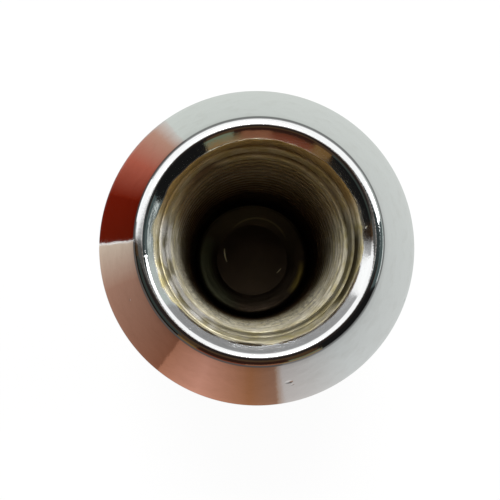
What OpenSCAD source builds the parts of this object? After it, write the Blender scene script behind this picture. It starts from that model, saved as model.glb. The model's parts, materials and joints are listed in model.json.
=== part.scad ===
// Closed-end wheel nut with a bulged conical seat.
// One forged and turned piece: a hex barrel with a domed crown at the bottom, a bulge above
// it that carries the conical seat, and a blind threaded well that opens upwards through a
// rounded lip. Z runs along the nut's axis and out of the well's mouth, and the crown's flat
// stands at z = 0. All sizes are in millimetres.

/* [Overall] */
// Height from the crown's flat to the crest of the lip
overall_h = 35; // [33:0.5:45]

/* [Thread] */
// Major diameter of the stud's thread
thread_d = 12.7; // [11:0.1:13]
// Pitch of the stud's thread: 20 threads to the inch
thread_pitch = 1.27; // [1:0.01:1.75]

/* [Well] */
// Depth from the crest of the lip to the edge of the well's floor
well_depth = 27.3; // [18:0.1:28.5]
// Radius of the corner between the well's wall and its floor
floor_corner_r = 0.8; // [0.2:0.1:1.2]
// Diameter of the flat in the middle of the floor, left by the punch's nose
punch_flat_d = 7.1; // [4:0.1:8]
// How far the punch's nose runs below the floor's edge
punch_nose_h = 0.6; // [0.2:0.1:1.2]

/* [Lip] */
// Diameter of the lip's crest, the highest circle of the nut
lip_d = 14.54; // [14:0.02:16]
// Radius of the lip between its crest and the seat
lip_outer_r = 0.67; // [0.3:0.01:1]
// Radius of the lip between its crest and the countersink
lip_inner_r = 0.45; // [0.2:0.01:0.6]
// Included angle of the countersink at the mouth
countersink_angle = 90; // [80:1:100]
// Diameter at which the countersink gives way to the steeper lead-in of the thread
lead_in_d = 12.76; // [12.4:0.02:13]
// Included angle of the lead-in
lead_in_angle = 25; // [15:1:45]

/* [Seat] */
// Largest diameter of the bulge, where the seat ends
seat_d = 22.1; // [21.9:0.1:24]
// Included angle of the conical seat
seat_angle = 60; // [54:1:75]
// Height of the straight rim below the seat
rim_h = 0.9; // [0.6:0.1:2]
// Radius on both edges of the rim
rim_edge_r = 0.25; // [0.1:0.05:0.4]
// Slope of the bulge's back, measured from level
back_angle = 45; // [20:1:55]

/* [Hex] */
// Width across the flats of the hex
hex_af = 19.05; // [17:0.05:20]
// Diameter to which the corners of the hex are turned
hex_corner_d = 21.7; // [20.4:0.1:21.8]
// Slope of the chamfer at the hex's lower end, measured from level
hex_chamfer_angle = 30; // [20:1:45]

/* [Crown] */
// Radius of the dome that closes the nut
crown_r = 10; // [9.6:0.1:14]
// Diameter of the dome where the hex's chamfer begins
crown_d = 18.4; // [16:0.1:19]
// Diameter of the flat on which the nut stands
crown_flat_d = 11; // [8:0.5:13]

/* [Hidden] */

// Segments of a circle on screen, and of each small round in a section
$fn = 96;
arc_steps = 8;
// How far one shape runs inside its neighbour, and a cut past the surface that it opens
overlap = 0.5;

bore_r = (thread_d - thread_pitch) / 2;
seat_r = seat_d / 2;
lip_r = lip_d / 2;
lead_in_r = lead_in_d / 2;
punch_flat_r = punch_flat_d / 2;
crown_flat_r = crown_flat_d / 2;
crown_base_r = crown_d / 2;
hex_corner_r = hex_corner_d / 2;
hex_flat_r = hex_af / 2;
seat_half = seat_angle / 2;
countersink_half = countersink_angle / 2;
lead_in_half = lead_in_angle / 2;

// Fillets stay within the walls that carry them
floor_corner = min(floor_corner_r, bore_r - punch_flat_r);
rim_edge = min(rim_edge_r, rim_h / 2);

// Centres of the lip's two arcs, and the points where the arcs run into the cones beside them
lip_outer_centre = [lip_r, overall_h - lip_outer_r];
lip_inner_centre = [lip_r, overall_h - lip_inner_r];
seat_top = lip_outer_centre + lip_outer_r * [cos(seat_half), sin(seat_half)];
mouth_edge = lip_inner_centre + lip_inner_r * [-cos(countersink_half), sin(countersink_half)];

// Levels from the lip downwards
lead_in_z = mouth_edge.y - (mouth_edge.x - lead_in_r) / tan(countersink_half);
bore_top_z = lead_in_z - (lead_in_r - bore_r) / tan(lead_in_half);
rim_top_z = seat_top.y - (seat_r - seat_top.x) / tan(seat_half);
rim_bottom_z = rim_top_z - rim_h;
back_r = hex_flat_r - overlap;
back_bottom_z = rim_bottom_z - (seat_r - back_r) * tan(back_angle);
floor_z = overall_h - well_depth;

// Centres of the rounds on the rim's two edges, each tangent to the rim and its neighbour
rim_top_centre = [seat_r - rim_edge, rim_top_z - rim_edge * tan(seat_half / 2)];
rim_bottom_centre = [seat_r - rim_edge, rim_bottom_z + rim_edge * tan(45 - back_angle / 2)];

// Levels from the crown's flat upwards
crown_centre_z = sqrt(pow(crown_r, 2) - pow(crown_flat_r, 2));
crown_top_z = crown_centre_z - sqrt(pow(crown_r, 2) - pow(crown_base_r, 2));
hex_full_z = crown_top_z + (hex_corner_r - crown_base_r) * tan(hex_chamfer_angle);
// The hex ends inside the bulge, halfway up its rim
hex_top_z = rim_bottom_z + rim_h / 2;

// Points of a round, anticlockwise from one direction of its surface to another
function arc(centre, radius, from, to) = [
    for (step = [0:arc_steps])
        let (angle = from + (to - from) * step / arc_steps)
            centre + radius * [cos(angle), sin(angle)]
];

// Half section of the bulge: its back, the rim, the seat, the lip and the mouth's two cones
module bulge_section() {
    polygon(concat(
        [[0, back_bottom_z], [back_r, back_bottom_z]],
        arc(rim_bottom_centre, rim_edge, back_angle - 90, 0),
        arc(rim_top_centre, rim_edge, 0, seat_half),
        arc(lip_outer_centre, lip_outer_r, seat_half, 90),
        arc(lip_inner_centre, lip_inner_r, 90, 180 - countersink_half),
        [[lead_in_r, lead_in_z], [bore_r, bore_top_z], [0, bore_top_z]]
    ));
}

// Half section of what the barrel is turned to: the dome, the hex's chamfer and its corners
module barrel_section() {
    intersection() {
        translate([0, crown_centre_z]) circle(r = crown_r);
        square([hex_corner_r, crown_top_z + overlap]);
    }
    polygon([
        [0, crown_top_z - overlap * tan(hex_chamfer_angle)],
        [crown_base_r - overlap, crown_top_z - overlap * tan(hex_chamfer_angle)],
        [hex_corner_r, hex_full_z],
        [hex_corner_r, hex_top_z],
        [0, hex_top_z],
    ]);
}

module hex_barrel() {
    intersection() {
        rotate_extrude() barrel_section();
        linear_extrude(hex_top_z) circle(r = hex_flat_r / cos(30), $fn = 6);
    }
}

// Half section of the well: the floor that a punch left, and the wall that takes the thread
module well_section() {
    polygon(concat(
        [[0, floor_z - punch_nose_h], [punch_flat_r, floor_z - punch_nose_h]],
        arc([bore_r - floor_corner, floor_z + floor_corner], floor_corner, -90, 0),
        [[bore_r, bore_top_z + overlap], [0, bore_top_z + overlap]]
    ));
}

module lug_nut() {
    color([0.80, 0.81, 0.82])
        difference() {
            union() {
                rotate_extrude() bulge_section();
                hex_barrel();
            }
            rotate_extrude() well_section();
        }
}

lug_nut();
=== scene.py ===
"""A closed-end chrome lug nut: its detailed visual mesh, its finishes, and a plain studio round it.

The mesh is built in millimetres, in the CAD's frame, and stored in metres. A half section is
drawn for each column of vertices round the axis, from the middle of the crown's flat, up the
outside, over the lip and down the well. Between the countersink and the plain end of the well
the columns are joined by a helical sheet, whose rows follow the thread.

Wear, painted shade and painted highlights are worked out at each vertex, and one material
turns them into plating, oil, worn steel, painted shade and painted highlights.
Cards and a dome that only the metal sees give it the photograph's reflections.
"""

import json
import math

import bpy
from mathutils import Matrix, Vector, noise


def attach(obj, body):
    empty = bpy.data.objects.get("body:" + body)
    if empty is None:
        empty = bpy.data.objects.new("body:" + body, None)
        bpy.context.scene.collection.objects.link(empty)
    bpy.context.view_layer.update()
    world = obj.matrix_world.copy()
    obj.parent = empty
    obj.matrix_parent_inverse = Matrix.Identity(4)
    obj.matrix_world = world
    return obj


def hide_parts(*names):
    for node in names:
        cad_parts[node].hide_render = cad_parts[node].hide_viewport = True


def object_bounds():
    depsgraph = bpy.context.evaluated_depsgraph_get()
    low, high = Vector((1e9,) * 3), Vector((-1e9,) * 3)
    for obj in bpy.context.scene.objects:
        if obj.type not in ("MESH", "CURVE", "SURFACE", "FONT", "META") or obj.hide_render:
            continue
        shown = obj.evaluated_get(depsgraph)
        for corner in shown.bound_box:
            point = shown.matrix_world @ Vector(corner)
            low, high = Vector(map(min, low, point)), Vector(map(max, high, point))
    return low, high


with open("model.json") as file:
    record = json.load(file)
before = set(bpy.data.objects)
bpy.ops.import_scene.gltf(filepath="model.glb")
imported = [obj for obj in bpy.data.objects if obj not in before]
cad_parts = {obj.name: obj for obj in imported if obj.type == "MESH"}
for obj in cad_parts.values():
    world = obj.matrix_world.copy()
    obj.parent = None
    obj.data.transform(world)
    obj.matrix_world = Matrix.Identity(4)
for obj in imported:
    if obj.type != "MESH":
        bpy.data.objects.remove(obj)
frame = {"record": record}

cad_low, cad_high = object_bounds()

MM = 0.001  # metres in a millimetre
MOUNTS = {m["name"]: m for m in frame["record"]["mounts"]}

# ---------------------------------------------------------------- sizes, in millimetres

OVERALL_H = cad_high.z / MM
SEAT_R = cad_high.x / MM
BORE_R = MOUNTS["stud_thread"]["dims"]["r_mm"]
HEX_FLAT_R = MOUNTS["hex_flat_back"]["pos_m"][1] / MM

THREAD_PITCH = 1.27
THREAD_DEPTH = 0.635
CREST_HALF = 0.149       # half of the crest's flat, as a share of the pitch
ROOT_HALF = 0.0625       # half of the root's flat, as a share of the pitch
LEAD_IN_R = 6.38         # where the countersink gives way to the steeper lead-in
LEAD_IN_HALF = math.radians(12.5)
LEAD_IN_ROUND = 0.9      # radius that blends the two cones
THREAD_END_Z = 14.9      # where the grooves have run out into the plain end of the well
THREAD_RUN_OUT = 1.6     # length over which the grooves fade
THREAD_START_Z = 35.06   # first crest at the seam, before sheet_point squeezes it down

LIP_R = 7.27
LIP_OUTER_ROUND = 0.67
LIP_INNER_ROUND = 0.45
COUNTERSINK_HALF = math.radians(45)
SEAT_HALF = math.radians(30)
RIM_H = 0.9
RIM_EDGE = 0.25
BACK_SLOPE = math.radians(45)

HEX_CORNER_ROUND = 0.96
HEX_CHAMFER_SLOPE = math.radians(30)
HEX_EDGE_ROUND = 0.22
BACK_ROOT_ROUND = 0.28

CROWN_R = 10
CROWN_BASE_R = 9.2
CROWN_FLAT_R = 5.5
CROWN_EDGE_ROUND = 0.4
CROWN_ROOT_ROUND = 0.2

WELL_DEPTH = 27.3
FLOOR_CORNER_ROUND = 0.8
PUNCH_FLAT_R = 3.55
PUNCH_NOSE_H = 0.6
PUNCH_EDGE_ROUND = 0.25

# ---------------------------------------------------------------- mesh resolution

SIDES = 6
CORNER_COLUMNS = 10      # columns of vertices round each corner of the hex
FLAT_COLUMNS = 38        # columns across each flat

THREAD_ROWS = 12         # rows of vertices over one pitch, as many as pitch_shares gives
THREAD_TURNS = 17
PITCH_FLANK_ROWS = (0.35, 0.7)       # rows on a flank, as shares of the way down it
PITCH_CREST_ROW = 0.7                # row on half a crest, as a share of the way to its edge

WIDEST_CREST = 0.47                  # most that half a cut crest and half the root fill together
SHEET_CAP_GAP = 0.2                  # from the mouth's edge down to the helical sheet
SHEET_FOOT_GAP = 0.3                 # from the sheet's lowest point down to the plain wall
LAST_RING_SHARE = 0.45               # where the countersink's last ring lies in the upper gap
LARGEST_FACE_WEIGHT = 100            # lets the largest faces rule the shading, from 1 to 100

# Steps along the section's rounds and straight stretches
CROWN_STEPS = 14
EDGE_STEPS = 5                       # each rounded edge of the crown, the hex and the rim
SMALL_ROUND_STEPS = 4                # the dome's corner with the chamfer, and the punch's edge
BARREL_STEPS = 6
SEAT_STEPS = 9
LIP_OUTER_STEPS = 12
LIP_INNER_STEPS = 9
WALL_STEPS = 6
FLOOR_CORNER_STEPS = 8
CROWN_RINGS = (0.15, 0.4, 0.7, 0.9)  # rings on the crown's flat, as shares of its radius
FLOOR_RINGS = (0.75, 0.45, 0.15)     # and on the punch's flat


# ---------------------------------------------------------------- half section

def smooth(low, high, value):
    """0 below low, 1 above high, and smoothly between them."""
    share = min(1, max(0, (value - low) / (high - low)))
    return share * share * (3 - 2 * share)


def arc(centre, radius, start, end, steps):
    """Points of a round, from one direction of its surface to another, in degrees."""
    angles = [math.radians(start + (end - start) * k / steps) for k in range(steps + 1)]
    return [(centre[0] + radius * math.cos(a), centre[1] + radius * math.sin(a)) for a in angles]


def straight(start, end, steps):
    """Points between two points, without the first."""
    return [
        (start[0] + (end[0] - start[0]) * k / steps, start[1] + (end[1] - start[1]) * k / steps)
        for k in range(1, steps + 1)
    ]


def rounded(before, corner, after, radius, steps):
    """Points of a round of that radius, tangent to the two lines that meet at a corner."""
    before, corner, after = Vector(before), Vector(corner), Vector(after)
    back, on = (before - corner).normalized(), (after - corner).normalized()
    half = back.angle(on) / 2
    reach = radius / math.tan(half)
    centre = corner + (back + on).normalized() * (radius / math.sin(half))
    first, last = corner + back * reach - centre, corner + on * reach - centre
    sweep = first.angle_signed(last)
    points = []
    for k in range(steps + 1):
        turned = Matrix.Rotation(-sweep * k / steps, 2) @ first
        points.append(tuple(centre + turned))
    return points


SIDE_ANGLE = math.radians(360 / SIDES)
ROUNDS_FLAT_R = HEX_FLAT_R - HEX_CORNER_ROUND    # flats of the hex on whose corners the rounds turn
FLAT_HALF_ANGLE = math.atan2(ROUNDS_FLAT_R * math.tan(SIDE_ANGLE / 2), HEX_FLAT_R)


def hex_radius(angle):
    """Distance from the axis to the hex, whose corners are rounded, in one direction."""
    off = abs((angle % SIDE_ANGLE) - SIDE_ANGLE / 2)
    if off <= FLAT_HALF_ANGLE:
        return HEX_FLAT_R / math.cos(off)
    to_round = ROUNDS_FLAT_R / math.cos(SIDE_ANGLE / 2)
    past = SIDE_ANGLE / 2 - off
    across = to_round * math.sin(past)
    return to_round * math.cos(past) + math.sqrt(HEX_CORNER_ROUND**2 - across**2)


def column_angles():
    """Angles of the columns of vertices, closer together round the hex's corners."""
    half_corner = SIDE_ANGLE / 2 - FLAT_HALF_ANGLE
    half_columns = CORNER_COLUMNS // 2
    from_corner = [half_corner * k / half_columns for k in range(half_columns)]
    to_corner = [SIDE_ANGLE - half_corner + turn for turn in from_corner]
    across = [
        half_corner + 2 * FLAT_HALF_ANGLE * k / FLAT_COLUMNS for k in range(FLAT_COLUMNS)
    ]
    turns = from_corner + across + to_corner
    return [side * SIDE_ANGLE + turn for side in range(SIDES) for turn in turns]


LIP_OUTER_CENTRE = (LIP_R, OVERALL_H - LIP_OUTER_ROUND)
LIP_INNER_CENTRE = (LIP_R, OVERALL_H - LIP_INNER_ROUND)
SEAT_TOP = (
    LIP_R + LIP_OUTER_ROUND * math.cos(SEAT_HALF),
    LIP_OUTER_CENTRE[1] + LIP_OUTER_ROUND * math.sin(SEAT_HALF),
)
MOUTH_EDGE = (
    LIP_R - LIP_INNER_ROUND * math.cos(COUNTERSINK_HALF),
    LIP_INNER_CENTRE[1] + LIP_INNER_ROUND * math.sin(COUNTERSINK_HALF),
)
RIM_TOP_Z = SEAT_TOP[1] - (SEAT_R - SEAT_TOP[0]) / math.tan(SEAT_HALF)
RIM_BOTTOM_Z = RIM_TOP_Z - RIM_H
FLOOR_Z = OVERALL_H - WELL_DEPTH
CROWN_CENTRE_Z = math.sqrt(CROWN_R**2 - CROWN_FLAT_R**2)
CROWN_TOP_Z = CROWN_CENTRE_Z - math.sqrt(CROWN_R**2 - CROWN_BASE_R**2)


def countersink_radius(z):
    """Radius of the countersink's cone at one level."""
    return MOUTH_EDGE[0] - (MOUTH_EDGE[1] - z) * math.tan(COUNTERSINK_HALF)


def countersink_level(radius):
    """Level at which the countersink's cone has that radius."""
    return MOUTH_EDGE[1] - (MOUTH_EDGE[0] - radius) / math.tan(COUNTERSINK_HALF)


LEAD_IN_Z = countersink_level(LEAD_IN_R)
SHEET_CAP_Z = MOUTH_EDGE[1] - SHEET_CAP_GAP
SHEET_BOTTOM_Z = THREAD_START_Z - THREAD_TURNS * THREAD_PITCH - SHEET_FOOT_GAP


def crown_points():
    """The flat's edge and the dome, up to the circle where the hex's chamfer begins."""
    inner = CROWN_R - CROWN_EDGE_ROUND
    edge_x = math.sqrt(inner**2 - (CROWN_CENTRE_Z - CROWN_EDGE_ROUND) ** 2)
    joins = math.degrees(math.atan2(CROWN_EDGE_ROUND - CROWN_CENTRE_Z, edge_x))
    ends = math.degrees(math.atan2(CROWN_TOP_Z - CROWN_CENTRE_Z, CROWN_BASE_R))
    points = [(edge_x * share, 0) for share in CROWN_RINGS]
    points += arc((edge_x, CROWN_EDGE_ROUND), CROWN_EDGE_ROUND, -90, joins, EDGE_STEPS)
    points += arc((0, CROWN_CENTRE_Z), CROWN_R, joins, ends, CROWN_STEPS)[1:-1]
    return points


CROWN_POINTS = crown_points()


def barrel_points(angle):
    """The hex's chamfer, its flat or corner, and the bulge's back, in one direction."""
    hex_r = hex_radius(angle)
    base = (CROWN_BASE_R, CROWN_TOP_Z)
    low = (hex_r, CROWN_TOP_Z + (hex_r - CROWN_BASE_R) * math.tan(HEX_CHAMFER_SLOPE))
    high = (hex_r, RIM_BOTTOM_Z - (SEAT_R - hex_r) * math.tan(BACK_SLOPE))
    rim_bottom = (SEAT_R, RIM_BOTTOM_Z)
    rim_top = (SEAT_R, RIM_TOP_Z)
    points = rounded(CROWN_POINTS[-1], base, low, CROWN_ROOT_ROUND, SMALL_ROUND_STEPS)
    points += rounded(base, low, high, HEX_EDGE_ROUND, EDGE_STEPS)
    upper = rounded(low, high, rim_bottom, BACK_ROOT_ROUND, EDGE_STEPS)
    points += straight(points[-1], upper[0], BARREL_STEPS)[:-1] + upper
    points += rounded(high, rim_bottom, rim_top, RIM_EDGE, EDGE_STEPS)
    points += rounded(rim_bottom, rim_top, SEAT_TOP, RIM_EDGE, EDGE_STEPS)
    return points


def mouth_points():
    """The seat, the lip and the first of the countersink, from the rim inwards."""
    rim_bottom, rim_top = (SEAT_R, RIM_BOTTOM_Z), (SEAT_R, RIM_TOP_Z)
    seat_start = rounded(rim_bottom, rim_top, SEAT_TOP, RIM_EDGE, EDGE_STEPS)[-1]
    inner_ends = 180 - math.degrees(COUNTERSINK_HALF)
    last_z = (1 - LAST_RING_SHARE) * MOUTH_EDGE[1] + LAST_RING_SHARE * SHEET_CAP_Z
    points = straight(seat_start, SEAT_TOP, SEAT_STEPS)[:-1]
    points += arc(
        LIP_OUTER_CENTRE, LIP_OUTER_ROUND, math.degrees(SEAT_HALF), 90, LIP_OUTER_STEPS
    )
    points += arc(LIP_INNER_CENTRE, LIP_INNER_ROUND, 90, inner_ends, LIP_INNER_STEPS)[1:]
    return points + [(countersink_radius(last_z), last_z)]


def well_points():
    """The plain end of the well and its punched floor, from the thread's end inwards."""
    wall = (BORE_R, SHEET_BOTTOM_Z)
    corner_centre = (BORE_R - FLOOR_CORNER_ROUND, FLOOR_Z + FLOOR_CORNER_ROUND)
    corner = arc(corner_centre, FLOOR_CORNER_ROUND, 0, -90, FLOOR_CORNER_STEPS)
    nose = (PUNCH_FLAT_R, FLOOR_Z - PUNCH_NOSE_H)
    points = [wall] + straight(wall, corner[0], WALL_STEPS)[:-1] + corner
    points += rounded(corner[-1], nose, (0, nose[1]), PUNCH_EDGE_ROUND, SMALL_ROUND_STEPS)
    points += [(PUNCH_FLAT_R * share, nose[1]) for share in FLOOR_RINGS]
    return points


# ---------------------------------------------------------------- thread

# The arc that blends the countersink into the lead-in
LEAD_IN_REACH = LEAD_IN_ROUND * math.tan((COUNTERSINK_HALF - LEAD_IN_HALF) / 2)
BLEND_TOP_Z = LEAD_IN_Z + LEAD_IN_REACH * math.cos(COUNTERSINK_HALF)
BLEND_BOTTOM_Z = LEAD_IN_Z - LEAD_IN_REACH * math.cos(LEAD_IN_HALF)
BLEND_CENTRE = (
    countersink_radius(BLEND_TOP_Z) + LEAD_IN_ROUND * math.cos(COUNTERSINK_HALF),
    BLEND_TOP_Z - LEAD_IN_ROUND * math.sin(COUNTERSINK_HALF),
)


def mouth_radius(z):
    """Radius to which the countersink and the lead-in have cut the crests at one level."""
    if z >= BLEND_TOP_Z:
        return countersink_radius(z)
    if z >= BLEND_BOTTOM_Z:
        up = z - BLEND_CENTRE[1]
        return BLEND_CENTRE[0] - math.sqrt(LEAD_IN_ROUND**2 - up**2)
    return max(BORE_R, LEAD_IN_R - (LEAD_IN_Z - z) * math.tan(LEAD_IN_HALF))


def crest_edge(crest_z, side):
    """Share of the pitch from a crest's middle to its edge, above it (-1) or below it (+1)."""
    slope = THREAD_DEPTH / (0.5 - CREST_HALF - ROOT_HALF)
    cut = mouth_radius(crest_z) - BORE_R
    lean = THREAD_PITCH * math.tan(LEAD_IN_HALF) if cut else 0
    edge = (cut + CREST_HALF * slope) / (slope + side * lean)
    return min(WIDEST_CREST - ROOT_HALF, max(CREST_HALF, edge))


def pitch_shares(crest_z):
    """The rows of one pitch below a crest's middle, as shares of the pitch."""
    low = crest_edge(crest_z, 1)
    high = 1 - crest_edge(crest_z - THREAD_PITCH, -1)
    root_top, root_bottom = 0.5 - ROOT_HALF, 0.5 + ROOT_HALF
    upper_flank = [low + (root_top - low) * share for share in PITCH_FLANK_ROWS]
    lower_flank = [root_bottom + (high - root_bottom) * share for share in PITCH_FLANK_ROWS]
    return (
        [0, PITCH_CREST_ROW * low, low] + upper_flank + [root_top, 0.5, root_bottom]
        + lower_flank + [high, 1 - PITCH_CREST_ROW * (1 - high)]
    )


def thread_depth(share):
    """Depth of the thread's profile at a share of the pitch below a crest's middle."""
    from_crest = min(share, 1 - share)
    down_flank = (from_crest - CREST_HALF) / (0.5 - CREST_HALF - ROOT_HALF)
    return THREAD_DEPTH * min(1, max(0, down_flank))


def sheet_point(crest_z, share):
    """A point of the helical sheet: the thread, or what has cut its crest away.

    Above the lead-in the rows are squeezed together, so that they end below the mouth's edge.
    """
    z = crest_z - THREAD_PITCH * share
    fade = smooth(0, THREAD_RUN_OUT, z - THREAD_END_Z)
    radius = BORE_R + thread_depth(share) * fade
    if z > LEAD_IN_Z:
        squeeze = (SHEET_CAP_Z - LEAD_IN_Z) / (THREAD_START_Z + THREAD_PITCH - LEAD_IN_Z)
        z = LEAD_IN_Z + (z - LEAD_IN_Z) * squeeze
    return max(radius, mouth_radius(z)), z


def sheet_column(angle):
    """The helical sheet's points in one direction, downwards."""
    top = THREAD_START_Z + THREAD_PITCH * angle / math.tau
    crests = [top - THREAD_PITCH * turn for turn in range(THREAD_TURNS + 1)]
    points = [sheet_point(z, share) for z in crests[:-1] for share in pitch_shares(z)]
    return points + [sheet_point(crests[-1], 0)]


# ---------------------------------------------------------------- mesh

class MeshLists:
    """Vertices and faces, gathered before they become a mesh."""

    def __init__(self):
        self.vertices = []
        self.faces = []

    def column(self, angle, points):
        """Adds a column of (radius, level) points in one direction, and returns their indices."""
        first = len(self.vertices)
        for radius, z in points:
            place = (radius * math.cos(angle), radius * math.sin(angle), z)
            self.vertices.append([c * MM for c in place])
        return list(range(first, len(self.vertices)))

    def strip(self, left, right):
        """Joins two columns of as many points with a strip of faces."""
        for k in range(len(left) - 1):
            self.faces.append([left[k], right[k], right[k + 1], left[k + 1]])


def join_outside(lists, columns):
    """The crown, the barrel, the bulge and the lip, with a fan in the crown's middle."""
    centre = lists.column(0, [(0, 0)])[0]
    for left, right in zip(columns, columns[1:] + columns[:1]):
        lists.faces.append([centre, right[0], left[0]])
        lists.strip(left, right)


def join_well(lists, columns):
    """The plain end of the well, with a fan in the floor's middle."""
    centre = lists.column(0, [(0, FLOOR_Z - PUNCH_NOSE_H)])[0]
    for left, right in zip(columns, columns[1:] + columns[:1]):
        lists.strip(left, right)
        lists.faces.append([left[-1], right[-1], centre])


def join_thread(lists, sheet, over_seam, above, below):
    """The helical sheet, and the faces that join its two stepped edges to the rings beside it.

    After a full turn the sheet is one pitch further up, so the last column joins the first one
    a pitch lower, and over_seam holds the first pitch of points past the seam.
    """
    shifted = over_seam + sheet[0][: len(sheet[0]) - THREAD_ROWS]
    for left, right in zip(sheet, sheet[1:] + [shifted]):
        lists.strip(left, right)
    count = len(sheet)
    for k in range(1, count - 1):
        lists.faces.append([above[k], above[k + 1], sheet[k + 1][0], sheet[k][0]])
    lists.faces.append(
        [above[0], above[1], sheet[1][0], sheet[0][0]] + list(reversed(over_seam))
    )
    lists.faces.append([above[-1], above[0], over_seam[0], sheet[-1][0]])
    for k in range(count - 1):
        lists.faces.append([sheet[k][-1], sheet[k + 1][-1], below[k + 1], below[k]])
    step = sheet[0][-THREAD_ROWS - 1:]
    lists.faces.append([sheet[-1][-1]] + step + [below[0], below[-1]])


def build_nut():
    """The whole nut as one closed mesh."""
    lists = MeshLists()
    angles = column_angles()
    mouth, well = mouth_points(), well_points()
    outside_columns = [
        lists.column(a, CROWN_POINTS + barrel_points(a) + mouth) for a in angles
    ]
    sheet = [lists.column(a, sheet_column(a)) for a in angles]
    over_seam = lists.column(0, sheet_column(math.tau)[:THREAD_ROWS])
    well_columns = [lists.column(a, well) for a in angles]
    join_outside(lists, outside_columns)
    join_thread(
        lists, sheet, over_seam, [c[-1] for c in outside_columns], [c[0] for c in well_columns]
    )
    join_well(lists, well_columns)

    mesh = bpy.data.meshes.new("lug_nut_detailed")
    mesh.from_pydata(lists.vertices, [], lists.faces)
    mesh.validate(verbose=False)
    mesh.polygons.foreach_set("use_smooth", [True] * len(mesh.polygons))
    piece = bpy.data.objects.new("lug_nut_detailed", mesh)
    bpy.context.scene.collection.objects.link(piece)
    weighted = piece.modifiers.new("weighted_normals", "WEIGHTED_NORMAL")
    weighted.keep_sharp = True
    weighted.weight = LARGEST_FACE_WEIGHT
    return piece


nut = build_nut()
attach(nut, "root")
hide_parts("lug_nut")


# ---------------------------------------------------------------- wear, painted shade and painted highlights

# A sector is two directions, in degrees clockwise from the far side as the camera sees it, and
# half the width of its blend at each. A blend is where something begins and where it is full,
# and a band is the blends at its two ends. Both are in millimetres below the lip's crest, unless
# their comment says otherwise. What ends in LOSS is how much is taken off there.

# Brown, amber, root and deep are painted shade, the brown with some oil; the worn steel is partly
# painted highlight
WEAR_AND_LIGHT_KINDS = ("oily", "deep", "brown", "bare_and_highlight", "root", "rubbed", "amber", "torn")

FAR_SECTOR = (286, 72, 12)

PLATING_REACH = 0.58                    # how far below the crest the bright plating ends
PLATING_BLEND = 0.25                    # the depth over which it gives way to oily steel
PLATING_WANDER = 0.12                   # how far its edge strays
WANDER_SCALE = 4
WANDER_SLICE = 3                        # the level of the noise that the edge follows
WORN_BAND = ((228, 238), (285, 345))    # where it is worn back, in directions
WORN_LOSS = 0.2
THIN_SECTOR = (38, 100, 8)
THIN_LOSS = 0.1

SCUFF = 1.5                             # how rough the scuffed stretch of the lip is
SCUFF_SECTOR = (268, 312, 5)
SCUFF_RING = ((7.17, 7.25), (7.45, 7.6))    # a band by the distance from the axis
SCUFF_END = (0.3, 0.6)
RUBBED_BLEND = (0.12, 0.35)
POLISHED_SECTOR = (284, 340, 4)
POLISHED_LOSS = 0.9

# The brown on the well's wall is painted shade, with some oil; it begins lowest where the far lamp
# lights the wall deepest
LIT_SIDE = 175                        # direction in which the well's wall is lit deepest
LIT_DEPTH = 4.2                       # how deep it is lit at least
LIT_MORE = 14.4                       # and how much deeper on the lit side
LIT_POWER = 1.4
# A sector where the painted shade begins higher, and by how much
SHADED_SECTOR = (285, 335, 12)
SHADED_LOSS = 2.6
BROWN_BEGINS = (0.6, 0.15)              # as a share of the lit depth, and the lit side's change
BROWN_FULL = (1.5, -0.25)               # the same
TORN_SECTOR = (118, 262, 16)
TORN_BAND = ((4, 8), (17, 21))
# Painted shade on the well's floor, from where it begins to where it is full
DEEP_BLEND = (21, 26)

# Painted shade in the roots of the grooves
ROOT_DARK = 0.95
ROOT_CUT = (0.04, 0.5)                  # a blend by the share of the thread's depth
ROOT_BLEND = (0.8, 3)
FAR_ROOT_LOWER = 1.6                    # how much lower that blend lies on the far side
CREST_CUT = (0.02, 0.2)                 # a blend by the share of the thread's depth
CREST_BAND = ((2, 4), (8, 22))
CREST_UNSHADED = 0.6                       # how much of the painted shade and oil the crests lose
FAR_CREST_UNSHADED_LOSS = 0.2
# How bright the crests are drawn: worn steel, partly painted highlight
CREST_BRIGHT = 0.22
FAR_CREST_BRIGHT_LOSS = 0.12
CREST_LINES = 0.4                       # how much more painted highlight they get in the band below, on the far side
CREST_LINES_BAND = ((6, 9), (15, 20))

# A ragged patch of painted highlight on the lead-in, drawn as worn steel
HIGHLIGHT_SECTOR = (208, 284, 8)
HIGHLIGHT_BAND = ((1.1, 1.6), (2.8, 4.4))
HIGHLIGHT_RAGGED = (-0.35, 0.1)              # a blend by the noise
RAGGED_SCALE = 0.9
GROOVE_SECTOR = (82, 130, 8)            # where painted shade darkens the first groove
GROOVE_BAND = ((0.75, 1.0), (1.9, 2.3))
# Painted shade on the far wall, warmed by the brown it reflects, with less of it in a gap below the
# mouth
AMBER = 0.95
AMBER_GAP = ((1.3, 1.9), (2.5, 5))
AMBER_GAP_LOSS = 0.35


def between(value, rise, fall):
    """0 before a band, 1 inside it and 0 past it."""
    return smooth(*rise, value) * (1 - smooth(*fall, value))


def clockwise(angle, start=0):
    """Degrees clockwise from a direction, for an angle in radians from the x axis."""
    return (90 - math.degrees(angle) - start) % 360


def sector(angle, start, end, fade):
    """1 between a sector's two directions, and 0 outside them."""
    turn = clockwise(angle, start)
    span = (end - start) % 360
    if turn > span + 0.5 * (360 - span):
        turn -= 360
    return between(turn, (-fade, fade), (span - fade, span + fade))


def plating_reach(angle):
    """How far below the lip's crest the bright plating ends, which changes round the mouth."""
    worn = between(clockwise(angle), *WORN_BAND)
    round_mouth = (WANDER_SCALE * math.cos(angle), WANDER_SCALE * math.sin(angle), WANDER_SLICE)
    reach = PLATING_REACH - WORN_LOSS * worn + PLATING_WANDER * noise.noise(Vector(round_mouth))
    return reach - THIN_LOSS * sector(angle, *THIN_SECTOR)


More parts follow.
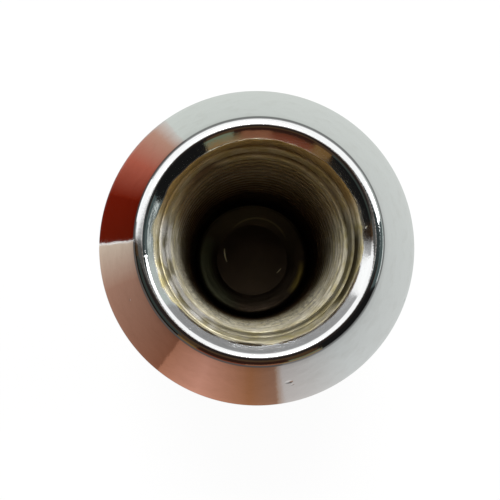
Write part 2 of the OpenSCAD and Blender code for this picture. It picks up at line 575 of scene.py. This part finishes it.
def scuffed_at(angle, radius, down):
    """How rough a scuffed stretch of the lip is."""
    ring = between(radius, *SCUFF_RING)
    return SCUFF * sector(angle, *SCUFF_SECTOR) * ring * (1 - smooth(*SCUFF_END, down))


def rubbed_at(angle, down, oily):
    """How rubbed the plating is inside the mouth."""
    polished = POLISHED_LOSS * sector(angle, *POLISHED_SECTOR)
    return smooth(*RUBBED_BLEND, down) * (1 - oily) * (1 - polished)


def brown_shade_and_oil_at(angle, down):
    """How much brown is painted: shade where the lamp doesn't reach, with some oil, lowest on the
    lit side.
    """
    near = 0.5 + 0.5 * math.cos(angle - math.radians(90 - LIT_SIDE))
    lit_depth = LIT_DEPTH + LIT_MORE * near**LIT_POWER
    lit_depth -= SHADED_LOSS * sector(angle, *SHADED_SECTOR)
    begins, full = (share + change * near for share, change in (BROWN_BEGINS, BROWN_FULL))
    return smooth(begins * lit_depth, full * lit_depth, down)


def thread_at(radius, z, far):
    """How much a point is a crest, worn and painted bright, and how much a groove's root, where
    shade is painted.
    """
    if not THREAD_END_Z < z < LEAD_IN_Z:
        return 0, 0
    down = OVERALL_H - z
    cut = (radius - BORE_R) / THREAD_DEPTH
    crest = (1 - smooth(*CREST_CUT, cut)) * between(down, *CREST_BAND)
    begins, full = (level + FAR_ROOT_LOWER * far for level in ROOT_BLEND)
    return crest, smooth(*ROOT_CUT, cut) * smooth(begins, full, down)


def bare_and_highlight_at(place, angle, far, crest):
    """How bright the steel is drawn: a ragged patch of painted highlight on the lead-in, and the
    crests, worn and painted bright.
    """
    down = OVERALL_H - place[2]
    ragged = noise.noise(Vector([RAGGED_SCALE * c for c in place]))
    patch = sector(angle, *HIGHLIGHT_SECTOR) * between(down, *HIGHLIGHT_BAND)
    lines = CREST_LINES * between(down, *CREST_LINES_BAND) * far
    on_crest = (CREST_BRIGHT - FAR_CREST_BRIGHT_LOSS * far + lines) * crest
    return max(patch * smooth(*HIGHLIGHT_RAGGED, ragged), on_crest)


def wear_and_light_at(x, y, z):
    """How much of each kind of wear, painted shade and painted highlight there is at a point."""
    angle, radius, down = math.atan2(y, x), math.hypot(x, y), OVERALL_H - z
    scuffed = scuffed_at(angle, radius, down)
    outside = radius > LIP_R or z < 0.5 * FLOOR_Z
    if outside:
        return dict.fromkeys(WEAR_AND_LIGHT_KINDS, 0) | {"rubbed": scuffed}
    reach = plating_reach(angle)
    oily = smooth(reach, reach + PLATING_BLEND, down)
    far = sector(angle, *FAR_SECTOR)
    crest, root = thread_at(radius, z, far)
    # The crests keep less of the painted shade and oil
    oil_and_shade_kept = 1 - (CREST_UNSHADED - FAR_CREST_UNSHADED_LOSS * far) * crest
    # Painted shade in the first groove
    first_groove_shade = sector(angle, *GROOVE_SECTOR) * between(down, *GROOVE_BAND)
    # Brown, amber, root and deep are painted shade, the brown with some oil; the crests and the
    # lead-in patch get painted highlight
    return {
        "oily": oily,
        "deep": smooth(*DEEP_BLEND, down) * oily,
        "brown": brown_shade_and_oil_at(angle, down) * oil_and_shade_kept * oily,
        "bare_and_highlight": bare_and_highlight_at((x, y, z), angle, far, crest) * oily,
        "root": max(ROOT_DARK * root, first_groove_shade) * oily,
        "rubbed": max(rubbed_at(angle, down, oily), scuffed),
        "amber": (AMBER - AMBER_GAP_LOSS * between(down, *AMBER_GAP)) * far * oil_and_shade_kept,
        "torn": sector(angle, *TORN_SECTOR) * between(down, *TORN_BAND),
    }


def paint_wear_and_light(mesh):
    """Stores the wear, painted shade and painted highlights at each vertex, for the material to
    read.
    """
    wear = [wear_and_light_at(*(c / MM for c in vertex.co)) for vertex in mesh.vertices]
    for kind in WEAR_AND_LIGHT_KINDS:
        values = [point[kind] for point in wear]
        mesh.attributes.new(kind, "FLOAT", "POINT").data.foreach_set("value", values)


# ---------------------------------------------------------------- finishes

class Nodes:
    """The node tree of a material or a world, with short calls to add nodes and join them."""

    def __init__(self, owner):
        self.owner = owner
        owner.use_nodes = True
        self.tree = owner.node_tree
        self.tree.nodes.clear()

    def add(self, kind, **settings):
        """Adds a node, and sets its own properties."""
        node = self.tree.nodes.new(kind)
        for name, value in settings.items():
            setattr(node, name, value)
        return node

    def put(self, node, values):
        """Sets a node's inputs, each to a value or to another node's output."""
        for name, value in values.items():
            self.put_socket(node.inputs[name], value)
        return node

    def put_socket(self, socket, value):
        """Sets one input to a value or to another node's output."""
        if isinstance(value, bpy.types.NodeSocket):
            self.tree.links.new(value, socket)
        else:
            socket.default_value = value

    def attribute(self, name):
        """A number stored at the mesh's vertices."""
        return self.add("ShaderNodeAttribute", attribute_name=name).outputs["Fac"]

    def noise(self, vector, scale, detail, roughness):
        """Noise from 0 to 1."""
        node = self.add("ShaderNodeTexNoise")
        self.put(node, {"Vector": vector, "Scale": scale, "Detail": detail,
                        "Roughness": roughness})
        return node.outputs["Fac"]

    def stretched(self, vector, scale):
        """Coordinates multiplied along each axis."""
        node = self.add("ShaderNodeMapping")
        return self.put(node, {"Vector": vector, "Scale": scale}).outputs["Vector"]

    def parts(self, vector):
        """The three numbers of a vector, by the names of their axes."""
        return self.put(self.add("ShaderNodeSeparateXYZ"), {"Vector": vector}).outputs

    def math(self, operation, first, second=0.0, clamp=False):
        """One sum on two numbers."""
        node = self.add("ShaderNodeMath", operation=operation, use_clamp=clamp)
        return self.put(node, {0: first, 1: second}).outputs[0]

    def remap(self, value, from_low, from_high, to_low, to_high):
        """A number taken from one range to another, and kept inside it."""
        node = self.add("ShaderNodeMapRange", clamp=True)
        self.put(node, {"Value": value, "From Min": from_low, "From Max": from_high,
                        "To Min": to_low, "To Max": to_high})
        return node.outputs["Result"]

    def mix(self, factor, first, second):
        """One colour laid over another."""
        node = self.add("ShaderNodeMix", data_type="RGBA")
        self.put(node, {"Factor": factor})
        self.put_socket(node.inputs[6], first)
        self.put_socket(node.inputs[7], second)
        return node.outputs[2]

    def bump(self, height, strength, distance, normal=None):
        """The surface's direction, tilted by a height."""
        node = self.add("ShaderNodeBump")
        self.put(node, {"Height": height, "Strength": strength, "Distance": distance})
        if normal:
            self.put(node, {"Normal": normal})
        return node.outputs["Normal"]

    def finish(self, shader):
        """Joins the shader to the output, and returns the material or the world."""
        in_world = isinstance(self.owner, bpy.types.World)
        output = self.add("ShaderNodeOutputWorld" if in_world else "ShaderNodeOutputMaterial")
        self.put(output, {"Surface": shader})
        return self.owner


def new_nodes(name):
    """The empty node tree of a new material."""
    return Nodes(bpy.data.materials.new(name))


CHROME = (0.80, 0.81, 0.81, 1)
DUSTY_CHROME = (0.765, 0.77, 0.765, 1)
OILY_STEEL = (0.93, 0.87, 0.67, 1)
OLIVE_FILM = (0.64, 0.56, 0.28, 1)
# Worn steel with painted highlight; then painted shade: amber on the far wall, brown with some oil
# on the unlit wall, near black in the grooves' roots and on the well's floor
BARE_STEEL_AND_HIGHLIGHT = (0.97, 0.95, 0.90, 1)
AMBER_SHADE = (0.33, 0.20, 0.062, 1)
BROWN_SHADE_AND_OIL = (0.12, 0.064, 0.026, 1)
SOOT = (0.16, 0.13, 0.06, 1)
ROOT_SHADE = (0.05, 0.040, 0.018, 1)
FLOOR_SHADE = (0.045, 0.032, 0.021, 1)

# The oily steel's layers, each over the one before: the kind and its colour. Worn steel with
# painted highlight comes first, then painted shade, the brown with some oil
FILM_LAYERS = [
    ("bare_and_highlight", BARE_STEEL_AND_HIGHLIGHT), ("amber", AMBER_SHADE), ("brown", BROWN_SHADE_AND_OIL), ("root", ROOT_SHADE),
    ("deep", FLOOR_SHADE),
]

# Noise: scale, detail and roughness
PATCH_NOISE = (900, 4, 0.6)
GRAIN_NOISE = (6000, 3, 0.6)
STREAK_NOISE = (1400, 4, 0.65)
FLECK_NOISE = (3600, 2, 0.5)
WAVE_NOISE = (450, 2, 0.5)
STREAK_STRETCH = (0.3, 0.3, 5)
FLECK_STRETCH = (1, 1, 0.15)

# Each group of four is one range and the range that it is taken to
FILM_PATCHES = (0.3, 0.7, 0.5, 0)      # taken from the film's share, which frays its edge
FILM_GAIN = 1.5                        # what that share is multiplied by first
FILM_COVER = (0, 0.4, 0, 1)
OLIVE_PATCHES = (0.42, 0.62, 0, 1)
SOOT_STREAKS = (0.35, 0.6, 0, 0.65)
TORN_FLECKS = (0.5, 0.6, 0, 0.7)
DUSTY_PATCHES = (0.5, 0.68, 0, 1)
PLATE_ROUGHNESS = (0.35, 0.75, 0.045, 0.10)
STEEL_ROUGHNESS = (0.3, 0.7, 0.32, 0.46)
RUBBED_ROUGHNESS = 0.09                # added where the plating is rubbed
BARE_SMOOTHNESS = 0.12                 # taken off where the steel is worn and where highlight is painted
FILM_METALLIC = (0, 1, 1.0, 0.55)
BARE_METALLIC_LOSS = 0.4

# Bumps: strength, and height in metres
WAVE_BUMP = (1.0, 0.000014)
DENT_BUMP = (1.0, 1.0)                 # the dents' own heights are in metres already
GRAIN_BUMP = (0.12, 0.00002)
STREAK_BUMP = (0.45, 0.0001)

# Painted glints, reflections and shade on the well's floor, as arcs: centre, radius and half
# width, the directions between which they show, the share that shows, and the colour
PAINTED_FLOOR_ARCS = [
    ((0, 0), (4.7, 0.9), (205, 290), 0.9, (0.13, 0.135, 0.08, 1)),
    ((0, 0), (4.2, 0.8), (110, 205), 0.7, (0.085, 0.065, 0.045, 1)),
    ((0, 0), (5.5, 0.6), (150, 212), 0.8, (0.014, 0.009, 0.005, 1)),
    ((0, 0), (5.0, 0.45), (97, 126), 0.9, (0.17, 0.125, 0.030, 1)),
    ((0, 0), (5.42, 0.09), (300, 60), 0.8, (0.13, 0.10, 0.060, 1)),
    ((0.4, 1.04), (3.2, 0.12), (320, 62), 0.8, (0.10, 0.08, 0.045, 1)),
    ((0.4, 1.04), (3.2, 0.08), (251, 269), 1.0, (0.75, 0.68, 0.42, 1)),
    ((0.4, 1.04), (3.15, 0.07), (128, 137), 1.0, (0.35, 0.30, 0.18, 1)),
]
ARC_CORE = 0.3          # share of an arc's half width over which it is full
ARC_FADE = 12           # most degrees by which its ends fade, on either side
ARC_HUB = 0.1           # radius in millimetres below which no direction is worked out


def painted_floor_arc(n, place, centre, ring, span, share):
    """Where one arc of painted light or shade shows."""
    parts = n.parts(place)
    x = n.math("SUBTRACT", parts["X"], centre[0] * MM)
    y = n.math("SUBTRACT", parts["Y"], centre[1] * MM)
    radius = n.math("SQRT", n.math("ADD", n.math("MULTIPLY", x, x), n.math("MULTIPLY", y, y)))
    off = n.math("ABSOLUTE", n.math("SUBTRACT", radius, ring[0] * MM))
    on_ring = n.remap(off, ARC_CORE * ring[1] * MM, ring[1] * MM, share, 0)
    half = 0.5 * ((span[1] - span[0]) % 360)
    middle = math.radians(90 - span[0] - half)
    along = n.math("ADD", n.math("MULTIPLY", x, math.cos(middle)),
                   n.math("MULTIPLY", y, math.sin(middle)))
    cosine = n.math("DIVIDE", along, n.math("MAXIMUM", radius, ARC_HUB * MM))
    fade = math.radians(min(ARC_FADE, 0.5 * half))
    near, far = math.radians(half) - fade, math.radians(half) + fade
    return n.math("MULTIPLY", on_ring, n.remap(cosine, math.cos(far), math.cos(near), 0, 1))


# Small pits and nicks: where, how wide and how deep
DENTS = [
    ((1.98, -9.03, 32.26), 0.28, 0.040), ((2.25, -9.3, 31.8), 0.14, 0.024),
    ((-5.95, 2.05, 33.89), 0.24, 0.024), ((6.66, 0.85, 34.63), 0.10, 0.012),
    ((-4.27, -5.46, 34.84), 0.10, 0.008), ((-7.04, -0.92, 34.95), 0.14, 0.010),
    ((-8.33, -3.71, 32.47), 0.10, 0.010), ((10.19, -3.77, 29.5), 0.16, 0.018),
]


def dents(n, place):
    """How far below the surface the pits and nicks lie, in metres."""
    depth = 0.0
    for centre, radius, low in DENTS:
        apart = n.add("ShaderNodeVectorMath", operation="DISTANCE")
        n.put(apart, {0: place, 1: [c * MM for c in centre]})
        pit = n.remap(apart.outputs["Value"], 0, radius * MM, low * MM, 0)
        depth = n.math("ADD", pit, depth)
    return n.math("MULTIPLY", depth, -1.0)


def film_colour(n, place, patches, streaks):
    """The oily steel's colour, with painted shade and highlights, from the mouth to the painted
    glints and shade on the well's floor.
    """
    film = n.mix(n.remap(patches, *OLIVE_PATCHES), OILY_STEEL, OLIVE_FILM)
    sooty = n.math("MULTIPLY", n.remap(streaks, *SOOT_STREAKS), n.attribute("oily"))
    flecks = n.noise(n.stretched(place, FLECK_STRETCH), *FLECK_NOISE)
    flecked = n.math("MULTIPLY", n.remap(flecks, *TORN_FLECKS), n.attribute("torn"))
    film = n.mix(flecked, n.mix(sooty, film, SOOT), SOOT)
    # Worn steel with painted highlight, then the layers of painted shade
    for kind, colour in FILM_LAYERS:
        film = n.mix(n.attribute(kind), film, colour)
    deep = n.attribute("deep")
    # Painted glints, reflections and shade on the well's floor
    for *arc_sizes, colour in PAINTED_FLOOR_ARCS:
        film = n.mix(n.math("MULTIPLY", deep, painted_floor_arc(n, place, *arc_sizes)), film, colour)
    return film


def roughness(n, patches, grain, film_share):
    """The roughness of the plating and of the steel below its edge."""
    rubbed = n.math("MULTIPLY", n.attribute("rubbed"), RUBBED_ROUGHNESS)
    plate = n.math("ADD", n.remap(grain, *PLATE_ROUGHNESS), rubbed)
    bare_and_highlight = n.math("MULTIPLY", n.attribute("bare_and_highlight"), BARE_SMOOTHNESS)
    steel = n.math("SUBTRACT", n.remap(patches, *STEEL_ROUGHNESS), bare_and_highlight)
    return n.math("ADD", n.math("MULTIPLY", plate, n.math("SUBTRACT", 1.0, film_share)),
                  n.math("MULTIPLY", steel, film_share))


def metallic(n, film_share):
    """The metal's share, which oil and the worn steel with painted highlight lower, though not on
    the well's floor.
    """
    above_floor = n.math("SUBTRACT", 1.0, n.attribute("deep"))
    dull = n.remap(n.math("MULTIPLY", film_share, above_floor), *FILM_METALLIC)
    bare_and_highlight = n.math("MULTIPLY", n.attribute("bare_and_highlight"), BARE_METALLIC_LOSS)
    return n.math("SUBTRACT", dull, bare_and_highlight)


def relief(n, place, grain, streaks):
    """Faint waves and small pits in the surface, its grain, and the streaks of oil."""
    normal = n.bump(n.noise(place, *WAVE_NOISE), *WAVE_BUMP)
    normal = n.bump(dents(n, place), *DENT_BUMP, normal)
    normal = n.bump(grain, *GRAIN_BUMP, normal)
    return n.bump(n.math("MULTIPLY", streaks, n.attribute("oily")), *STREAK_BUMP, normal)


def chrome_material():
    """Bright plating outside, which gives way to oily steel in the thread and the well, with
    painted shade and highlights there.
    """
    n = new_nodes("chrome_plate")
    place = n.add("ShaderNodeTexCoord").outputs["Object"]
    patches = n.noise(place, *PATCH_NOISE)
    grain = n.noise(place, *GRAIN_NOISE)
    streaks = n.noise(n.stretched(place, STREAK_STRETCH), *STREAK_NOISE)
    film_share = n.math("SUBTRACT", n.math("MULTIPLY", n.attribute("oily"), FILM_GAIN),
                        n.remap(patches, *FILM_PATCHES), clamp=True)
    plate = n.mix(n.remap(patches, *DUSTY_PATCHES), CHROME, DUSTY_CHROME)
    film = film_colour(n, place, patches, streaks)
    shader = n.add("ShaderNodeBsdfPrincipled")
    n.put(shader, {
        "Base Color": n.mix(n.remap(film_share, *FILM_COVER), plate, film),
        "Metallic": metallic(n, film_share),
        "Roughness": roughness(n, patches, grain, film_share),
        "Normal": relief(n, place, grain, streaks),
    })
    return n.finish(shader.outputs[0])


paint_wear_and_light(nut.data)
nut.data.materials.append(chrome_material())


# ---------------------------------------------------------------- camera

IMAGE_SIZE = 500
FOCAL_PX = 700
SENSOR = 36                        # width in millimetres
CLIP_START = 2                     # in millimetres, like LIP_DISTANCE
DOWN_AXIS_PX = (240.7, 291.0)      # where lines along the nut's axis vanish
LIP_CENTRE_PX = (259.3, 240.5)
LIP_DISTANCE = 43.5
LIP_PLANE_Z = SEAT_TOP[1]


def camera_axes():
    """The world's axes in the camera's: x to the right, y down, z away from it."""
    middle = IMAGE_SIZE / 2
    down = Vector(((DOWN_AXIS_PX[0] - middle) / FOCAL_PX,
                   (DOWN_AXIS_PX[1] - middle) / FOCAL_PX, 1)).normalized()
    z_axis = -down
    image_up = Vector((0, -1, 0))
    y_axis = (image_up - z_axis * image_up.dot(z_axis)).normalized()
    return y_axis.cross(z_axis), y_axis, z_axis


def add_camera():
    """A camera that sees the nut as the outline's and the lip's circles say."""
    middle = IMAGE_SIZE / 2
    axes = camera_axes()
    lip = Vector(((LIP_CENTRE_PX[0] - middle) / FOCAL_PX * LIP_DISTANCE,
                  (LIP_CENTRE_PX[1] - middle) / FOCAL_PX * LIP_DISTANCE, LIP_DISTANCE))
    place = [-lip.dot(axis) for axis in axes]
    place[2] += LIP_PLANE_Z
    turned = Matrix([(axis.x, -axis.y, -axis.z) for axis in axes]).to_4x4()
    data = bpy.data.cameras.new("camera")
    data.sensor_width = SENSOR
    data.lens = FOCAL_PX / IMAGE_SIZE * SENSOR
    data.clip_start = CLIP_START * MM
    camera = bpy.data.objects.new("camera", data)
    camera.matrix_world = Matrix.Translation([c * MM for c in place]) @ turned
    bpy.context.scene.collection.objects.link(camera)
    bpy.context.scene.camera = camera


add_camera()


# ---------------------------------------------------------------- studio

def stage_mesh(name, points, faces, material):
    """A floor, backdrop or card, from points in millimetres."""
    mesh = bpy.data.meshes.new(name)
    mesh.from_pydata([[c * MM for c in p] for p in points], [], faces)
    mesh.materials.append(material)
    thing = bpy.data.objects.new(name, mesh)
    bpy.context.scene.collection.objects.link(thing)
    return thing


WHITE = (1, 1, 1, 1)
PAPER = (0.86, 0.86, 0.85, 1)
FLOOR_SEEN = 0.95        # share of the floor's white that no shadow dims, seen directly
FLOOR_MIRRORED = 0.5     # and seen in the metal
FLOOR_REACH = 3000


def floor_material():
    """Pale paper, which the camera and the metal see as white but for a little of its shade."""
    n = new_nodes("pale_floor")
    path = n.add("ShaderNodeLightPath")
    seen = n.math("MAXIMUM", path.outputs["Is Camera Ray"], path.outputs["Is Transmission Ray"])
    mirrored = n.math("MULTIPLY", path.outputs["Is Glossy Ray"], FLOOR_MIRRORED)
    seen = n.math("MAXIMUM", n.math("MULTIPLY", seen, FLOOR_SEEN), mirrored)
    paper = n.put(n.add("ShaderNodeBsdfDiffuse"), {"Color": PAPER})
    white = n.put(n.add("ShaderNodeEmission"), {"Color": WHITE, "Strength": 1.0})
    both = n.add("ShaderNodeMixShader")
    n.put(both, {0: seen, 1: paper.outputs[0], 2: white.outputs[0]})
    return n.finish(both.outputs[0])


stage_mesh(
    "floor",
    [(-FLOOR_REACH, -FLOOR_REACH, 0), (FLOOR_REACH, -FLOOR_REACH, 0),
     (FLOOR_REACH, FLOOR_REACH, 0), (-FLOOR_REACH, FLOOR_REACH, 0)],
    [(0, 1, 2, 3)], floor_material(),
)


def glow_material(n, colour, strength=1.0):
    """A material that only gives light, whose nodes may have been begun already."""
    glow = n.put(n.add("ShaderNodeEmission"), {"Color": colour, "Strength": strength})
    return n.finish(glow.outputs[0])


def mirrored_card(name, points, faces, material):
    """A card that shows in the metal, and nowhere else."""
    card = stage_mesh(name, points, faces, material)
    card.visible_camera = False
    card.visible_diffuse = False
    card.visible_transmission = False
    card.visible_shadow = False
    card.visible_volume_scatter = False
    return card


def turned_sheet(section, angles, closed=False):
    """A line of (radius, level) points turned round the axis: its points and faces."""
    points = [(r * math.cos(a), r * math.sin(a), z) for a in angles for r, z in section]
    rows, columns = len(section), len(angles)
    faces = []
    for k in range(columns if closed else columns - 1):
        left, right = k * rows, (k + 1) % columns * rows
        for row in range(rows - 1):
            faces.append((left + row, right + row, right + row + 1, left + row + 1))
    return points, faces


def turned_angles(start, end, steps):
    """Angles in radians, for directions in degrees clockwise from the far side."""
    return [math.radians(90 - (start + (end - start) * k / steps)) for k in range(steps + 1)]


# Cards round the nut that show in its seat: from and to, in degrees clockwise from the far side
# as the camera sees it, and the colours at both ends
SURROUND_CARDS = [
    ("grey", -33, 140, (0.69, 0.73, 0.69), (0.70, 0.72, 0.71)),
    ("warm_grey", 140, 167.5, (0.70, 0.72, 0.71), (0.62, 0.57, 0.55)),
    ("grey_edge", 167.5, 171, (0.62, 0.57, 0.55), (0.40, 0.24, 0.16)),
    ("tan", 171, 182, (0.34, 0.18, 0.12), (0.38, 0.16, 0.075)),
    ("salmon_low", 182, 203, (0.38, 0.16, 0.075), (0.70, 0.335, 0.24)),
    ("salmon_high", 203, 220, (0.70, 0.335, 0.24), (0.47, 0.20, 0.12)),
    ("brown", 220, 257, (0.27, 0.105, 0.06), (0.42, 0.23, 0.165)),
    ("beige", 257, 273.9, (0.44, 0.25, 0.18), (0.69, 0.56, 0.45)),
    ("dark_red", 274.4, 293, (0.135, 0.010, 0.003), (0.16, 0.010, 0.003)),
    ("red", 293, 308, (0.19, 0.014, 0.004), (0.47, 0.12, 0.077)),
    ("rose", 308, 321, (0.47, 0.12, 0.077), (0.54, 0.31, 0.23)),
    ("rose_edge", 321, 327, (0.54, 0.31, 0.23), (0.68, 0.66, 0.62)),
]
PLAIN_CARDS = ("grey", "warm_grey")
SURROUND_STEP = 4        # degrees between the columns of a card
# A card's rings: distance from the axis, height above the floor, share of the card's colour
# left, and level of plain grey added
PLAIN_RINGS = [
    (16, 0.3, 1.0, 0), (36, 3, 1.0, 0), (42, 4, 0.9, 0), (52, 7, 0.50, 0), (70, 12, 0.2, 0.04),
    (120, 20, 0.2, 0.08), (400, 33, 0.15, 0.12),
]
TINTED_RINGS = [
    (16, 0.3, 0, 0.6), (33, 2.6, 0, 0.5), (37, 3.1, 1.0, 0), (42, 4, 0.9, 0), (52, 7, 0.55, 0),
    (58, 8.5, 0.12, 0.06), (120, 20, 0.03, 0.08), (400, 33, 0, 0.15),
]


def surround_card(name, start, end, first, last):
    """A sector of a shallow bowl round the nut's foot, darker further out."""
    rings = PLAIN_RINGS if name in PLAIN_CARDS else TINTED_RINGS
    steps = max(2, round((end - start) / SURROUND_STEP))
    section = [(radius, z) for radius, z, left, plain in rings]
    points, faces = turned_sheet(section, turned_angles(start, end, steps))
    tints = []
    for k in range(steps + 1):
        colour = [a + (b - a) * k / steps for a, b in zip(first, last)]
        for radius, z, left, plain in rings:
            tints += [c * left + plain for c in colour] + [1]
    n = new_nodes("card_" + name)
    tint = n.add("ShaderNodeAttribute", attribute_name="tint").outputs["Color"]
    card = mirrored_card("card_" + name, points, faces, glow_material(n, tint))
    card.data.attributes.new("tint", "FLOAT_COLOR", "POINT").data.foreach_set("color", tints)


for surround in SURROUND_CARDS:
    surround_card(*surround)


# Cards that stand on the near side and show in the countersink: from and to, in degrees
# clockwise from the far side, lowest and highest level, and the colour
STANDING_CARDS = [
    ("window", 283, 304, 34, 100, (1.2, 1.2, 1.2)),
    ("pale", 52, 84, 34, 60, (0.50, 0.56, 0.53)),
    ("pale_edge", 84, 106, 34, 60, (0.68, 0.73, 0.71)),
    ("teal", 76, 108, 60, 190, (0.075, 0.10, 0.10)),
    ("black_right", 108, 147, 34, 400, (0.008, 0.008, 0.008)),
    ("sage", 147, 164, 66, 100, (0.15, 0.18, 0.12)),
    ("rust", 147, 168, 34, 66, (0.24, 0.15, 0.065)),
    ("maroon", 164, 211, 74, 190, (0.03, 0.012, 0.008)),
    ("salmon", 168, 186, 34, 74, (0.25, 0.10, 0.052)),
    ("brick", 186, 211, 34, 70, (0.18, 0.045, 0.022)),
    ("ochre", 211, 222, 34, 90, (0.18, 0.10, 0.035)),
    ("green_grey", 222, 266, 90, 200, (0.035, 0.045, 0.04)),
    ("black_left", 222, 266, 44, 90, (0.008, 0.008, 0.008)),
    ("umber", 222, 266, 34, 44, (0.12, 0.07, 0.035)),
]
STANDING_R = 150
STANDING_STEPS = 8


def standing_card(name, start, end, bottom, top, colour):
    """An upright card, curved round the nut."""
    section = [(STANDING_R, bottom), (STANDING_R, top)]
    points, faces = turned_sheet(section, turned_angles(start, end, STANDING_STEPS))
    material = glow_material(new_nodes("card_" + name), (*colour, 1))
    mirrored_card("card_" + name, points, faces, material)


for standing in STANDING_CARDS:
    standing_card(*standing)


# Cards overhead: lowest and highest x and y, and the colour
OVERHEAD_CARDS = [
    ("overhead_near", -250, 250, -140, -15, (0.02, 0.015, 0.014)),
    ("overhead_right", 28, 340, -15, 62, (0.03, 0.04, 0.04)),
    ("overhead_left", -340, -45, -15, 45, (0.09, 0.09, 0.085)),
]
OVERHEAD_Z = 330


def overhead_card(name, x_low, x_high, y_low, y_high, colour):
    """A level card above the camera."""
    corners = [(x_low, y_low), (x_high, y_low), (x_high, y_high), (x_low, y_high)]
    points = [(x, y, OVERHEAD_Z) for x, y in corners]
    material = glow_material(new_nodes("card_" + name), (*colour, 1))
    mirrored_card("card_" + name, points, [(0, 1, 2, 3)], material)


for overhead in OVERHEAD_CARDS:
    overhead_card(*overhead)


SKY_STRENGTH = 1.15
NEAR_SKY = (0.06, 0.035, 0.018, 1)
# How the sky changes from near to far, and brightens twice with height, each from one range of
# a direction's part to another range
NEAR_TO_FAR = (0.05, 0.15, 0, 1)
LOW_RISE = (0, 0.2, 0.16, 0.36)
HIGH_RISE = (0.22, 0.34, 0, 0.64)
DOME_R = 2800
DOME_COLUMNS = 48
DOME_ROWS = 12


def sky(n, direction):
    """One large soft light over the far half, and the dark of a room over the near half."""
    unit = n.put(n.add("ShaderNodeVectorMath", operation="NORMALIZE"), {0: direction})
    parts = n.parts(unit.outputs["Vector"])
    colour = n.mix(n.remap(parts["Y"], *NEAR_TO_FAR), NEAR_SKY, WHITE)
    rise = n.math("ADD", n.remap(parts["Z"], *LOW_RISE), n.remap(parts["Z"], *HIGH_RISE))
    return colour, n.math("MULTIPLY", rise, SKY_STRENGTH)


def set_world():
    """The sky's light, behind which the camera and the metal would see plain white."""
    n = Nodes(bpy.data.worlds.new("studio"))
    colour, strength = sky(n, n.add("ShaderNodeTexCoord").outputs["Generated"])
    path = n.add("ShaderNodeLightPath")
    seen = n.math("ADD", path.outputs["Is Camera Ray"], path.outputs["Is Glossy Ray"])
    seen = n.math("ADD", seen, path.outputs["Is Transmission Ray"], clamp=True)
    light = n.put(n.add("ShaderNodeBackground"), {"Color": colour, "Strength": strength})
    white = n.put(n.add("ShaderNodeBackground"), {"Color": WHITE, "Strength": 1.0})
    both = n.add("ShaderNodeMixShader")
    n.put(both, {0: seen, 1: light.outputs[0], 2: white.outputs[0]})
    bpy.context.scene.world = n.finish(both.outputs[0])


def sky_dome():
    """A half dome that shows the same sky in the metal."""
    heights = [0.5 * math.pi * row / DOME_ROWS for row in range(DOME_ROWS + 1)]
    section = [(DOME_R * math.cos(up), DOME_R * math.sin(up)) for up in heights]
    turns = [math.tau * k / DOME_COLUMNS for k in range(DOME_COLUMNS)]
    points, faces = turned_sheet(section, turns, closed=True)
    n = new_nodes("card_sky")
    colour, strength = sky(n, n.add("ShaderNodeTexCoord").outputs["Object"])
    mirrored_card("card_sky", points, faces, glow_material(n, colour, strength))


# Soft round lamps: direction in degrees clockwise from the far side, height in degrees above
# the horizon, and power. The first shines down the well, the second across its mouth.
SOFTBOXES = [("softbox_far", -4, 59, 4.6), ("softbox_right", 72, 40, 1.5)]
SOFTBOX_SIZE = 260
SOFTBOX_DISTANCE = 700


def add_softbox(name, direction, height, power):
    """A soft lamp that faces the nut."""
    data = bpy.data.lights.new(name, "AREA")
    data.shape = "DISK"
    data.size = SOFTBOX_SIZE * MM
    data.energy = power
    lamp = bpy.data.objects.new(name, data)
    turn, up = math.radians(90 - direction), math.radians(height)
    place = Vector((math.cos(up) * math.cos(turn), math.cos(up) * math.sin(turn), math.sin(up)))
    turned = place.to_track_quat("Z", "Y").to_matrix().to_4x4()
    lamp.matrix_world = Matrix.Translation(place * SOFTBOX_DISTANCE * MM) @ turned
    bpy.context.scene.collection.objects.link(lamp)


set_world()
sky_dome()
for softbox in SOFTBOXES:
    add_softbox(*softbox)
bpy.context.scene.view_settings.view_transform = "Standard"

bpy.context.view_layer.update()
